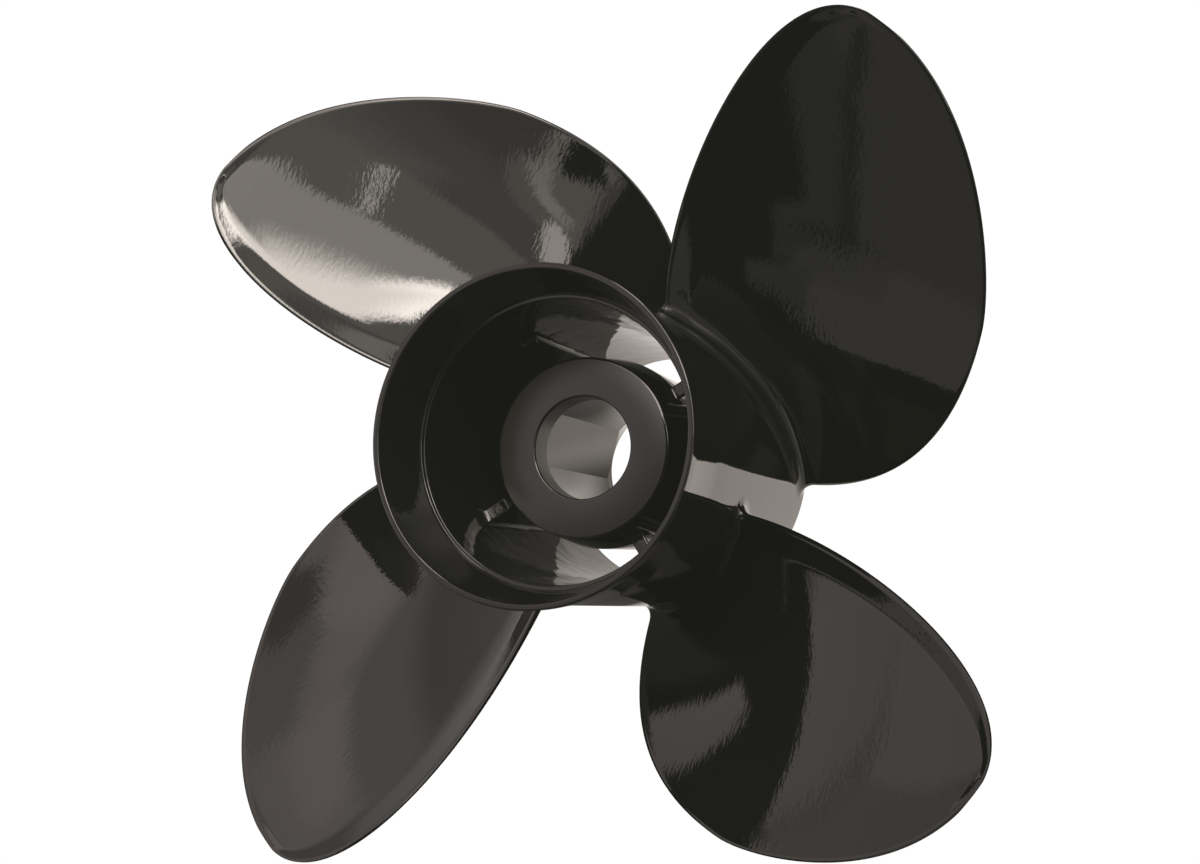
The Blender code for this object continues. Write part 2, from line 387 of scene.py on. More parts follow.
def inner_hub_profile():
    edge = settings().hub.edge
    lead_in_end = INNER_FORWARD_Z + LEAD_IN_LENGTH
    corner = socket_corner_radius()
    chamfer = settings().hub.face_chamfer
    drop = chamfer * math.tan(math.radians(FACE_CHAMFER_ANGLE))
    return soften(
        [
            (INNER_AFT_RADIUS - chamfer, INNER_AFT_Z, 0.0),
            (INNER_AFT_RADIUS, INNER_AFT_Z - drop, edge * FACE_EDGE_SHARE),
            (INNER_PARTING_RADIUS, PARTING_Z, edge),
            (INNER_FORWARD_RADIUS, INNER_FORWARD_Z, edge),
            (LEAD_IN_RADIUS, INNER_FORWARD_Z, edge),
            (corner + SOCKET_END_CHAMFER, lead_in_end, 0.0),
            (corner, lead_in_end + SOCKET_END_CHAMFER, 0.0),
            (corner, INNER_AFT_Z - LIP_LENGTH, 0.0),
            (BORE_RADIUS, INNER_AFT_Z - LIP_LENGTH, edge * LIP_EDGE_SHARE),
            (BORE_RADIUS, INNER_AFT_Z, LIP_ROUNDING),
        ]
    )


def flatten_socket(bm):
    """Draws the socket's wall in to its four flats."""
    low = INNER_FORWARD_Z + LEAD_IN_LENGTH + SOCKET_END_CHAMFER / 2
    high = INNER_AFT_Z - LIP_LENGTH + LEEWAY
    for vert in bm.verts:
        radius = math.hypot(vert.co.x, vert.co.y)
        if low < vert.co.z < high and SOCKET_FLAT_RADIUS < radius < LEAD_IN_RADIUS:
            across = max(abs(vert.co.x), abs(vert.co.y))
            scale = min(1.0, SOCKET_FLAT_RADIUS / across)
            vert.co.x *= scale
            vert.co.y *= scale


def inner_zones(bm):
    """Material 0 is the gloss paint, 1 the satin paint on the face and in the lip."""
    for face in bm.faces:
        middle = face.calc_center_median()
        radius = math.hypot(middle.x, middle.y)
        lip = radius < BORE_RADIUS + LEEWAY and middle.z < INNER_AFT_Z - LIP_ROUNDING
        if face.normal.z > FACE_LEVEL or lip:
            face.material_index = 1


class PROPELLER_OT_inner_hub(bpy.types.Operator):
    """Makes the inner hub, with its flat face, bore and square socket"""

    bl_idname = "propeller.inner_hub"
    bl_label = "Inner hub"

    def execute(self, context):
        bm = turned(inner_hub_profile(), INNER_STEPS)
        flatten_socket(bm)
        inner_zones(bm)
        hub = place(bm, "inner_hub_casting", [gloss_paint(), satin_face()])
        smooth(hub, 20.0)
        hand_over(hub, "hub_paint", "inner_hub")
        return {"FINISHED"}


# Ribs


def rib_top(radius):
    """Height of a rib's aft end: machined flat, with a round corner up to the shoulder and to the barrel."""
    fillet = settings().hub.rib_fillet
    flat = RIB_HIGH.z
    inner_start = RIB_SHOULDER_RADIUS + RIB_SHOULDER_Z - flat
    outer_start = barrel_bore_radius(flat) - fillet
    if radius < RIB_SHOULDER_RADIUS:
        return RIB_SHOULDER_Z + (RIB_SHOULDER_RADIUS - radius) * RIB_SHOULDER_SLOPE
    if radius < inner_start:
        reach = inner_start - RIB_SHOULDER_RADIUS
        return flat + reach - math.sqrt(max(0.0, reach**2 - (inner_start - radius) ** 2))
    if radius > outer_start:
        return flat + fillet - math.sqrt(max(0.0, fillet**2 - (radius - outer_start) ** 2))
    return flat


def rib_width(radius, z):
    """Half the rib's thickness, which flares a little into both tubes."""
    flare = settings().hub.rib_fillet / 2
    near = min(radius - inner_radius(z), barrel_bore_radius(z) - radius)
    share = min(max(1 - near / flare, 0.0), 1.0)
    return RIB_THICKNESS / 2 + flare * (1 - math.sqrt(1 - share**2))


def rib_stations():
    """Radii along a rib, closer together in its two aft corners."""
    inner = INNER_AFT_RADIUS
    outer = barrel_bore_radius(RIB_HIGH.z)
    fillet = settings().hub.rib_fillet
    corner_end = RIB_SHOULDER_RADIUS + RIB_SHOULDER_Z - RIB_HIGH.z
    stations = list(np.linspace(inner, RIB_SHOULDER_RADIUS - RIB_SHOULDER_GAP, RIB_SHOULDER_STATIONS))
    stations += [corner_end - (corner_end - RIB_SHOULDER_RADIUS) * math.cos(turn) for turn in QUARTER]
    stations += list(np.linspace(corner_end, outer - fillet, RIB_FLAT_STATIONS)[1:-1])
    stations += [outer - fillet + (fillet - RIB_WALL_GAP) * math.sin(turn) for turn in QUARTER]
    return stations


def rib_loop(radius):
    """Half the rib's outline at one radius, from its forward to its aft edge, as (half width, height)."""
    edge = settings().hub.rib_edge
    low, high = RIB_LOW.z, rib_top(radius)
    points = [(0.0, low)]
    for turn in QUARTER:
        points.append((edge * math.sin(turn), low + edge * (1 - math.cos(turn))))
    heights = np.linspace(low + edge, high - edge, RIB_HEIGHT_CELLS + 1)[1:-1]
    points += [(edge, height) for height in heights]
    for turn in QUARTER:
        points.append((edge * math.cos(turn), high - edge * (1 - math.sin(turn))))
    points.append((0.0, high))
    last = len(points) - 1
    return [
        (0.0 if index in (0, last) else rib_width(radius, z) - edge + across, z)
        for index, (across, z) in enumerate(points)
    ]


def rib_mesh():
    stations = rib_stations()
    loops = [rib_loop(radius) for radius in stations]
    columns, rows = len(stations) - 1, len(loops[0]) - 1
    bm = bmesh.new()
    bmesh.ops.create_grid(bm, x_segments=columns, y_segments=rows, size=1.0)
    for vert in bm.verts:
        column = round((vert.co.x + 1) / 2 * columns)
        row = round((vert.co.y + 1) / 2 * rows)
        width, height = loops[column][row]
        vert.co = Vector((stations[column], width, height))
    bmesh.ops.remove_doubles(bm, verts=bm.verts, dist=MERGE_DISTANCE)
    geometry = bm.verts[:] + bm.edges[:] + bm.faces[:]
    bmesh.ops.mirror(bm, geom=geometry, axis="Y", merge_dist=MIRROR_MERGE_DISTANCE)
    rims = [edge for edge in bm.edges if edge.is_boundary]
    bmesh.ops.holes_fill(bm, edges=rims, sides=0)
    bmesh.ops.recalc_face_normals(bm, faces=bm.faces)
    return bm


class PROPELLER_OT_ribs(bpy.types.Operator):
    """Makes the four ribs between the inner hub and the barrel"""

    bl_idname = "propeller.ribs"
    bl_label = "Ribs"

    def execute(self, context):
        for number, node in enumerate(RIBS):
            bm = rib_mesh()
            angle = math.radians(RIB_ANGLE + number * 360 / len(RIBS))
            bmesh.ops.rotate(bm, verts=bm.verts, cent=(0, 0, 0), matrix=Matrix.Rotation(angle, 3, "Z"))
            rib = place(bm, f"web_{number + 1}", [gloss_paint()])
            smooth(rib, 50.0)
            hand_over(rib, "black_paint", node)
        return {"FINISHED"}


# Blades


def bezier(arc):
    share = np.linspace(0, 1, ARC_SAMPLES + 1)[:, None]
    start, first, second, end = (np.array(point) for point in arc)
    rest = 1 - share
    return rest**3 * start + 3 * rest**2 * share * first + 3 * rest * share**2 * second + share**3 * end


def edge_polar(points):
    """(radius, angle) along an edge of the outline, in order of radius."""
    radius = np.hypot(points[:, 0], points[:, 1])
    order = np.argsort(radius)
    return radius[order], np.arctan2(points[:, 1], points[:, 0])[order]


def leading_angle(radius):
    return np.interp(radius, *edge_polar(np.vstack([bezier(LEADING_ROOT_ARC), bezier(LEADING_TIP_ARC)])))


def trailing_angle(radius):
    return np.interp(radius, *edge_polar(bezier(TRAILING_ARC)))


def helicoid_height(radius, angle):
    rise = (radius - TIP_RADIUS) * math.tan(math.radians(RAKE))
    return TIP_Z + rise + PITCH * angle / math.tau


def hollow_and_cup(share, chord):
    """The aft face is hollowed slightly along its chord and bent up in a strip along its trailing edge."""
    blade = settings().blade
    width = blade.cup_width * np.sqrt(np.clip(chord / CUP_FULL_CHORD, SMALLEST_CUP_SHARE, 1))
    rise = np.logaddexp(0, (width - chord * (1 - share)) / blade.cup_bend) * blade.cup_bend / width
    fade = np.clip(chord / HOLLOW_FULL_CHORD, 0, 1) ** 2
    return blade.hollow * fade * (np.minimum(rise, 1) - share**2)


def section_thickness(radius, share):
    edge = settings().blade.edge
    span = np.clip((TIP_RADIUS - radius) / (TIP_RADIUS - BARREL_RADIUS), 0, 1)
    middle = TIP_THICKNESS + (ROOT_THICKNESS - TIP_THICKNESS) * span
    fullness = (4 * share * (1 - share)) ** SECTION_FULLNESS
    return edge + (middle - edge) * fullness


def chord_shares():
    """Shares of the chord round a section, and its side: 1 forward from the trailing edge, then -1 aft."""
    turn = np.linspace(0, math.pi, CHORD_CELLS + 1)
    forward = (1 + np.cos(turn)) / 2
    aft = (1 - np.cos(turn)) / 2
    side = np.concatenate([np.ones(CHORD_CELLS), [0.0], -np.ones(CHORD_CELLS)])
    return np.concatenate([forward, aft[1:]]), side


def outline_points():
    """The blade's edge in space, from its leading root over the tip to its trailing root."""
    flat = np.vstack([bezier(LEADING_ROOT_ARC), bezier(LEADING_TIP_ARC)[1:], bezier(TRAILING_ARC)[1:]])
    radius = np.hypot(flat[:, 0], flat[:, 1])
    angle = np.arctan2(flat[:, 1], flat[:, 0])
    return np.c_[flat, helicoid_height(radius, angle)]


def edge_distance(points, outline):
    """Distance from each point to the nearest stretch of the outline."""
    nearest = np.full(len(points), np.inf)
    for start, end in zip(outline, outline[1:]):
        line = end - start
        reach = np.clip(((points - start) @ line) / (line @ line), 0, 1)
        nearest = np.minimum(nearest, np.linalg.norm(points - start - reach[:, None] * line, axis=1))
    return nearest


def section(radius, outline):
    """The closed loop of one blade section at one radius, as arrays of angle and height."""
    edge = settings().blade.edge
    share, side = chord_shares()
    leading = float(leading_angle(radius)) + EDGE_INSET / radius
    trailing = float(trailing_angle(radius)) - EDGE_INSET / radius
    angle = leading + share * (trailing - leading)
    chord = radius * (trailing - leading)
    height = helicoid_height(radius, angle)
    flat = np.c_[radius * np.cos(angle), radius * np.sin(angle), height]
    inset = np.clip(edge_distance(flat, outline) / edge, 0, 1)
    closing = np.sqrt(1 - (1 - inset) ** 2)
    offset = np.where(side > 0, section_thickness(radius, share) - edge / 2, -edge / 2) * closing
    slope = PITCH / (math.tau * radius)
    length = math.hypot(slope, 1.0)
    height = height + hollow_and_cup(share, chord)
    return angle + slope / length * offset / radius, height - offset / length


def loop_normals(along, height):
    """Outward unit normals of a closed loop whose first and last points are the same."""
    ring_a, ring_z = along[:-1], height[:-1]
    step_a = np.roll(ring_a, -1) - np.roll(ring_a, 1)
    step_z = np.roll(ring_z, -1) - np.roll(ring_z, 1)
    length = np.hypot(step_a, step_z)
    normal_a, normal_z = step_z / length, -step_a / length
    turning = np.sum(ring_a * np.roll(ring_z, -1) - np.roll(ring_a, -1) * ring_z)
    sign = 1.0 if turning > 0 else -1.0
    normal_a, normal_z = normal_a * sign, normal_z * sign
    return np.append(normal_a, normal_a[0]), np.append(normal_z, normal_z[0])


def blade_rows():
    """Rows of points from inside the barrel's wall, up the root fillet and out to the tip."""
    fillet = settings().blade.fillet
    outline = outline_points()
    angle, height = section(BARREL_RADIUS, outline)
    along = BARREL_RADIUS * angle
    normal_a, normal_z = loop_normals(along, height)
    falling = normal_z < -SMALLEST_FALL
    room = np.where(falling, (height - LOWEST_FILLET_Z) / np.maximum(-normal_z, SMALLEST_FALL), fillet)
    reach = np.clip(room, SMALLEST_FILLET, fillet)
    foot_a, foot_z = along + normal_a * reach, height + normal_z * reach
    top_angle, top_z = section(BARREL_RADIUS + fillet, outline)
    top_a = BARREL_RADIUS * top_angle
    rows = [cylinder_row(foot_a, foot_z, -ROOT_DEPTH)]
    for step in range(FILLET_CELLS + 1):
        share = step / FILLET_CELLS
        first, second, third = (1 - share) ** 2, 2 * share * (1 - share), share**2
        row_a = first * foot_a + second * along + third * top_a
        row_z = first * foot_z + second * height + third * top_z
        rows.append(cylinder_row(row_a, row_z, third * fillet - FILLET_SINK * first))
    for step in range(1, SPAN_CELLS + 1):
        share = math.sin(math.pi / 2 * step / SPAN_CELLS)
        radius = BARREL_RADIUS + fillet + (TIP_RADIUS - TIP_CUT - BARREL_RADIUS - fillet) * share
        row_angle, row_z = section(radius, outline)
        rows.append(np.c_[radius * np.cos(row_angle), radius * np.sin(row_angle), row_z])
    return rows


def cylinder_row(along, height, rise):
    angle = along / BARREL_RADIUS
    radius = BARREL_RADIUS + rise
    return np.c_[radius * np.cos(angle), radius * np.sin(angle), height]


def blade_mesh():
    rows = blade_rows()
    bm = bmesh.new()
    columns = 2 * CHORD_CELLS
    bmesh.ops.create_grid(bm, x_segments=columns, y_segments=len(rows) - 1, size=1.0)
    for vert in bm.verts:
        column = round((vert.co.x + 1) / 2 * columns)
        row = round((vert.co.y + 1) / 2 * (len(rows) - 1))
        vert.co = rows[row][column]
    bmesh.ops.remove_doubles(bm, verts=bm.verts, dist=BLADE_MERGE_DISTANCE)
    bmesh.ops.recalc_face_normals(bm, faces=bm.faces)
    return bm


class PROPELLER_OT_blades(bpy.types.Operator):
    """Makes the four blades, with their root fillets and cupped edges"""

    bl_idname = "propeller.blades"
    bl_label = "Blades"

    def execute(self, context):
        pattern = bpy.data.meshes.new("blade_pattern")
        bm = blade_mesh()
        bm.to_mesh(pattern)
        bm.free()
        for number, node in enumerate(BLADES):
            bm = bmesh.new()
            bm.from_mesh(pattern)
            angle = math.radians(BLADE_PHASE + number * 360 / len(BLADES))
            bmesh.ops.rotate(bm, verts=bm.verts, cent=(0, 0, 0), matrix=Matrix.Rotation(angle, 3, "Z"))
            blade = place(bm, f"cast_blade_{number + 1}", [gloss_paint()])
            smooth(blade, 60.0)
            hand_over(blade, "black_paint", node)
        bpy.data.meshes.remove(pattern)
        return {"FINISHED"}


# Finishes

PAINT_ROUGHNESS = 0.035
PAINT_IOR = 1.5
PAINT_TINT = (1.0, 0.95, 0.86, 1.0)
PEEL_SCALE = 700.0
PEEL_RISE = 0.000021
PEEL_STRETCH = (1.0, 0.35, 1.0)
SKIN_SCALE = 24.0
SKIN_RISE = 0.00016
CASTING_SCALE = 110.0
CASTING_RISE = 0.00022
FACE_ROUGHNESS = 0.30


def new_material(name):
    known = bpy.data.materials.get(name)
    if known:
        return known, None, None
    material = bpy.data.materials.new(name)
    material.use_nodes = True
    return material, material.node_tree, material.node_tree.nodes["Principled BSDF"]


def add_node(tree, kind, **values):
    node = tree.nodes.new(kind)
    for key, value in values.items():
        setattr(node, key, value)
    return node


def noise(tree, coordinates, scale, detail):
    node = add_node(tree, "ShaderNodeTexNoise")
    node.inputs["Scale"].default_value = scale
    node.inputs["Detail"].default_value = detail
    tree.links.new(coordinates, node.inputs["Vector"])
    return node


def bump(tree, source, distance, under=None):
    node = add_node(tree, "ShaderNodeBump")
    node.inputs["Strength"].default_value = 1.0
    node.inputs["Distance"].default_value = distance
    tree.links.new(source, node.inputs["Height"])
    if under:
        tree.links.new(under.outputs["Normal"], node.inputs["Normal"])
    return node


def gloss_paint():
    """Baked gloss black paint over a casting: deep, warm black with a faint orange peel."""
    return black_paint("gloss_black_paint", SKIN_SCALE, SKIN_RISE)


def cast_paint():
    """The same paint over the rougher casting inside the hub."""
    return black_paint("gloss_black_paint_on_rough_casting", CASTING_SCALE, CASTING_RISE)


def black_paint(name, casting_scale, casting_rise):
    material, tree, shader = new_material(name)
    if tree is None:
        return material
    colour = settings().finish.paint
    shader.inputs["Base Color"].default_value = (*colour, 1.0)
    shader.inputs["Roughness"].default_value = PAINT_ROUGHNESS
    shader.inputs["IOR"].default_value = PAINT_IOR
    shader.inputs["Specular Tint"].default_value = PAINT_TINT
    coordinates = add_node(tree, "ShaderNodeTexCoord")
    stretched = add_node(tree, "ShaderNodeMapping")
    stretched.inputs["Scale"].default_value = PEEL_STRETCH
    tree.links.new(coordinates.outputs["Object"], stretched.inputs["Vector"])
    casting = noise(tree, coordinates.outputs["Object"], casting_scale, detail=1.0)
    peel = noise(tree, stretched.outputs["Vector"], PEEL_SCALE, detail=2.0)
    waves = bump(tree, casting.outputs["Fac"], casting_rise)
    skin = bump(tree, peel.outputs["Fac"], PEEL_RISE, under=waves)
    tree.links.new(skin.outputs["Normal"], shader.inputs["Normal"])
    return material


def satin_face():
    """The inner hub's machined and painted aft face: satin, in the same black paint, with a warm dark grey
    colour that is a painted reflection of the room it mirrors.
    """
    material, tree, shader = new_material("satin_hub_face")
    if tree is None:
        return material
    # Painted reflection: the face's lighter colour stands in for the room it mirrors
    colour = settings().finish.face
    shader.inputs["Base Color"].default_value = (*colour, 1.0)
    shader.inputs["Roughness"].default_value = FACE_ROUGHNESS
    return material


def glowing(name, colour, strength):
    """A plain material that only gives light."""
    material, tree, shader = new_material(name)
    if tree is None:
        return material
    shader.inputs["Base Color"].default_value = (0.0, 0.0, 0.0, 1.0)
    shader.inputs["Roughness"].default_value = 0.9
    shader.inputs["Specular IOR Level"].default_value = 0.0
    shader.inputs["Emission Color"].default_value = (*colour, 1.0)
    shader.inputs["Emission Strength"].default_value = strength
    return material


def glowing_table_painted_shadow():
    """The table's glow, with the hub's own shadow painted into it and a painted pool of light that fades
    towards its dim border.
    """
    stage = settings().stage
    material = glowing("glowing_table_painted_shadow", stage.table, stage.glow)
    tree = material.node_tree
    coordinates = add_node(tree, "ShaderNodeTexCoord")
    # Painted shadow: the glow falls off along the heading into the hub's shadow
    along = add_node(tree, "ShaderNodeVectorMath", operation="DOT_PRODUCT")
    tree.links.new(coordinates.outputs["Object"], along.inputs[0])
    along.inputs[1].default_value = bearing(SHADOW_HEADING, 90)
    start, end = SHADOW_STOPS[0][0], SHADOW_STOPS[-1][0]
    share = add_node(tree, "ShaderNodeMapRange")
    share.inputs["From Min"].default_value = start
    share.inputs["From Max"].default_value = end
    tree.links.new(along.outputs["Value"], share.inputs["Value"])
    light = add_node(tree, "ShaderNodeValToRGB")
    light.color_ramp.interpolation = "EASE"
    stops = light.color_ramp.elements
    for distance, level in SHADOW_STOPS[1:-1]:
        stops.new((distance - start) / (end - start))
    for stop, (distance, level) in zip(stops, SHADOW_STOPS):
        stop.color = (level, level, level, 1.0)
    tree.links.new(share.outputs["Result"], light.inputs["Fac"])
    # Painted pool of light: the glow dims past the lit radius
    away = add_node(tree, "ShaderNodeVectorMath", operation="DISTANCE")
    away.inputs[1].default_value = (*TABLE_CENTRE, 0.0)
    tree.links.new(coordinates.outputs["Object"], away.inputs[0])
    glow = add_node(tree, "ShaderNodeMapRange")
    tree.links.new(away.outputs["Value"], glow.inputs["Value"])
    glow.inputs["From Min"].default_value = LIT_RADIUS
    glow.inputs["From Max"].default_value = LIT_RADIUS + LIT_BORDER
    glow.inputs["To Min"].default_value = stage.glow
    glow.inputs["To Max"].default_value = stage.glow * OUTER_LIGHT
    total = add_node(tree, "ShaderNodeMath", operation="MULTIPLY")
    tree.links.new(light.outputs["Color"], total.inputs[0])
    tree.links.new(glow.outputs["Result"], total.inputs[1])
    tree.links.new(total.outputs["Value"], tree.nodes["Principled BSDF"].inputs["Emission Strength"])
    return material


# Stage

CAMERA_PLACE = (0.2432, 0.0015, 0.6780)
CAMERA_TURN = (8.17, 19.27, 14.88)
CAMERA_SHIFT = (-0.060, -0.0486)
SENSOR_WIDTH = 36.0
NEAREST_VIEW = 0.01
STUDIO_RADIUS = 4.0
FLOOR_DROP = 0.0005
STUDIO_LIGHT = 1.02
# The even veil of stray light in the lens, which lifts the picture's blacks
VEIL = (0.0098, 0.0104, 0.0078)
# The table's glow is a painted pool of light, full inside the lit radius and dim past its border, with the
# hub's shadow painted across it
TABLE_CENTRE = (0.035, 0.026)
TABLE_RADIUS = 0.135
LIT_RADIUS = 0.096
LIT_BORDER = 0.005
OUTER_LIGHT = 0.11
SHADOW_HEADING = 65.0
# The hub's shadow painted into the table's glow: distance along the heading and share of the full light
SHADOW_STOPS = ((-0.060, 0.60), (-0.040, 0.58), (-0.026, 0.24), (-0.015, 0.24), (0.0, 1.15), (0.008, 1.0))
EAST_TINT = (1.0, 0.96, 0.965, 1.0)
WEST_TINT = (1.0, 0.90, 0.95, 1.0)
WEST_AZIMUTH = 165
TINT_START = -0.1
TINT_END = 0.3

# The studio's soft panels, which the paint mirrors. Each has its corners, as azimuth and angle from
# straight up in degrees, its radiance and the softness of its edge in degrees. A panel is convex, and a
# later one covers an earlier one.
PANELS = (
    # west wall, with the edge of the floor under it
    (((150, 35), (178, 30), (228, 40), (224, 76), (150, 76)), 0.97, 1.6),
    (((182, 74), (219, 74), (218, 90), (206, 88.2), (190, 81.8)), 0.92, 1.6),
    (((206, 84.5), (219, 84.5), (218, 91.5), (206, 89)), 0.52, 1.6),
    (((172, 78.5), (181, 80.5), (190, 85.5), (192, 89.5), (184, 89.5), (172, 87)), 0.85, 1.2),
    (((160, 92), (192, 93), (180, 114), (154, 114)), 0.06, 4.0),
    (((184, 62), (196, 60), (193, 73), (184, 74)), 0.70, 2.0),
    (((178, 33), (198, 33), (198, 44), (178, 44)), 2.2, 4.0),
    # north-west wall and the pale floor before it
    (((100, 58), (156, 58), (158, 112), (132, 104)), 0.60, 3.0),
    (((112, 60), (156, 60), (156, 70), (120, 75)), 1.05, 7.0),
    (((98, 44), (152, 40), (156, 62), (98, 64)), 1.45, 4.0),
    (((104, 58), (134, 58), (130, 64), (122, 74), (114, 76), (106, 68)), 1.70, 5.0),
    (((104, 55), (122, 57), (126, 64), (118, 68), (104, 62)), 1.95, 4.0),
    (((131, 55), (143, 54), (144, 60), (133, 62)), 1.75, 3.0),
    (((110, 45), (130, 45), (131, 55.5), (122, 57), (112, 54)), 1.04, 2.0),
    (((109, 44), (117, 44), (121, 53), (117, 56), (111, 54)), 0.48, 2.0),
    (((151, 70), (164, 66), (166, 112), (157, 112)), 1.05, 3.0),
    (((166.5, 78.5), (173, 78.5), (173, 98), (166.5, 98)), 0.10, 1.0),
    # south wall
    (((-130, 30), (-98, 30), (-90, 58), (-130, 58)), 0.34, 3.0),
    (((-98, 30), (-87.5, 30), (-87.5, 58), (-98, 58)), 0.22, 2.0),
    (((-90, 51), (-80, 51.5), (-80, 58), (-90, 58)), 0.22, 2.0),
    (((-130, 58), (-84, 59), (-84, 80), (-130, 80)), 0.50, 4.0),
    (((-107, 35.5), (-104, 36), (-98.5, 40.5), (-97, 43), (-100, 43), (-103.5, 40)), 0.09, 1.0),
    (((-99, 42.5), (-96.5, 42.5), (-95, 46.5), (-94.8, 50), (-97, 50), (-98, 45.5)), 0.06, 1.0),
    (((-97.5, 50), (-95, 50), (-95, 55.5), (-99, 55.5)), 0.09, 1.2),
    (((-106, 56.5), (-86, 56.5), (-84, 61), (-106, 61)), 0.38, 2.5),
    (((-90, 59), (-72, 59), (-72, 64), (-90, 66)), 0.28, 2.0),
    # low east wall and its floor
    (((-62, 74), (-40, 76), (-40, 112), (-62, 112)), 0.8, 3.0),
    (((-42, 62), (0, 58), (4, 112), (-42, 112)), 0.35, 2.0),
    (((-2, 56), (20, 56), (20, 112), (-2, 112)), 0.7, 4.0),
    (((18, 54), (50, 54), (62, 76), (62, 112), (18, 112)), 2.2, 5.0),
    # east wall, lighter towards the window
    (((-24, 18), (22, 18), (22, 50), (-24, 50)), 0.53, 4.0),
    (((4, 28), (22, 22), (22, 52), (8, 52), (2, 34)), 0.80, 5.0),
    (((14, 20), (24, 20), (24, 34), (14, 34)), 1.25, 5.0),
    (((19.5, 18), (38, 18), (38, 52), (19.5, 52)), 1.48, 1.5),
    # door frame on the east wall
    (((-22, 33.8), (-13, 35.2), (-2, 37.5), (4, 43), (5, 51), (-22, 41.6)), 1.42, 1.2),
    (((-5, 35.7), (0, 35.7), (3.5, 37), (7.5, 40.5), (7.5, 45.5), (0, 45.5), (-5, 38)), 1.24, 1.2),
    (((-20, 34.2), (-14, 35.3), (-8, 36.4), (-4, 37.8), (-4.5, 39.3), (-20, 35.4)), 2.3, 1.0),
    (((-8, 36.7), (-3.5, 37), (-0.5, 39), (-3.5, 40.5), (-8, 38)), 2.6, 1.0),
    (((-3.5, 38.5), (0, 39.3), (1.7, 42), (1.7, 46.2), (-2.2, 45)), 2.85, 1.4),
    (((2.5, 44.9), (6, 44.9), (9.5, 46.5), (17, 50), (14, 53.5), (9, 51.7), (4, 48.2)), 5.6, 1.2),
    (
        ((-22, 36), (-17, 36.1), (-12, 37.2), (-9, 38.7),
         (-9.5, 39.8), (-13, 41.3), (-18, 41.9), (-22, 38.6)),
        0.0,
        0.8,
    ),
    # ceiling
    (((160, 17), (200, 17), (204, 34), (156, 34)), 1.0, 3.0),
    (((184, 20), (200, 20), (204, 30), (184, 30)), 0.75, 5.0),
    # north window, tall, and the lamp above it
    (((104, 14), (140, 16), (138, 36), (104, 36)), 3.5, 4.0),
    (((70, 28), (100, 28), (98, 54), (84, 54), (72, 50)), 6.0, 3.0),
    (((82, 53), (98, 53), (98, 100), (82, 100)), 8.0, 2.0),
    (((75, 16), (108, 13), (108, 30), (78, 30)), 9.0, 3.0),
    # east window, and the lamps in front of it
    (((26, 17), (62, 15), (64, 28), (36, 28), (30, 25)), 4.4, 1.2),
    (((35, 25), (64, 25), (66, 34), (60, 50), (35.5, 50)), 4.2, 1.0),
    (((20.5, 30.6), (34.5, 33.2), (34.5, 34.2), (20.5, 31.6)), 6.2, 0.5),
    (((42.5, 48), (50, 42), (62, 42), (58, 50.5), (43, 53)), 24.0, 3.5),
    (((48.5, 48), (53, 30), (70, 31), (66, 46)), 16.5, 7.0),
    (((44, 53), (60, 50.5), (84, 60), (84, 74), (60, 64)), 1.4, 2.0),
    (((59, 50.5), (63, 46), (82, 57), (82, 62)), 1.4, 2.0),
    (((68, 56), (80, 57), (82, 63), (72, 62)), 0.85, 3.0),
    (((71, 64), (84, 64), (84, 74), (75, 70)), 2.4, 3.0),
)


def add_camera():
    data = bpy.data.cameras.new("camera")
    data.lens = settings().stage.lens
    data.sensor_width = SENSOR_WIDTH
    data.shift_x, data.shift_y = CAMERA_SHIFT
    data.clip_start = NEAREST_VIEW
    camera = bpy.data.objects.new("camera", data)
    camera.location = CAMERA_PLACE
    camera.rotation_euler = [math.radians(angle) for angle in CAMERA_TURN]
    bpy.context.scene.collection.objects.link(camera)
    bpy.context.scene.camera = camera


def add_studio():
    """The plain white floor and dome that the camera sees."""
    bm = bmesh.new()
    bmesh.ops.create_uvsphere(bm, u_segments=64, v_segments=32, radius=STUDIO_RADIUS)
    geometry = bm.verts[:] + bm.edges[:] + bm.faces[:]
    cut = bmesh.ops.bisect_plane(
        bm, geom=geometry, plane_co=(0, 0, -FLOOR_DROP), plane_no=(0, 0, 1), clear_inner=True
    )
    rim = [item for item in cut["geom_cut"] if isinstance(item, bmesh.types.BMEdge)]
    bmesh.ops.holes_fill(bm, edges=rim, sides=0)
    bmesh.ops.reverse_faces(bm, faces=bm.faces)
    studio = place(bm, "studio", [glowing("white_studio", settings().stage.floor, STUDIO_LIGHT)])
    studio.visible_diffuse = False
    studio.visible_glossy = False
    studio.visible_transmission = False
    studio.visible_volume_scatter = False
    studio.visible_shadow = False
    studio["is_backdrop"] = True


def add_table():
    """The glowing table top under the hub, with a painted pool of light and a painted shadow, which shows only
    in the paint.
    """
    bm = bmesh.new()
    bmesh.ops.create_circle(bm, cap_ends=True, segments=96, radius=TABLE_RADIUS)
    bmesh.ops.translate(bm, verts=bm.verts, vec=(*TABLE_CENTRE, 0))
    table = place(bm, "table", [glowing_table_painted_shadow()])
    table.visible_camera = False
    table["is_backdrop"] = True


def bearing(azimuth, polar):
    """Unit vector of a direction in the studio, from its azimuth and angle from straight up in degrees."""
    turn, tilt = math.radians(azimuth), math.radians(polar)
    return Vector((math.sin(tilt) * math.cos(turn), math.sin(tilt) * math.sin(turn), math.cos(tilt)))


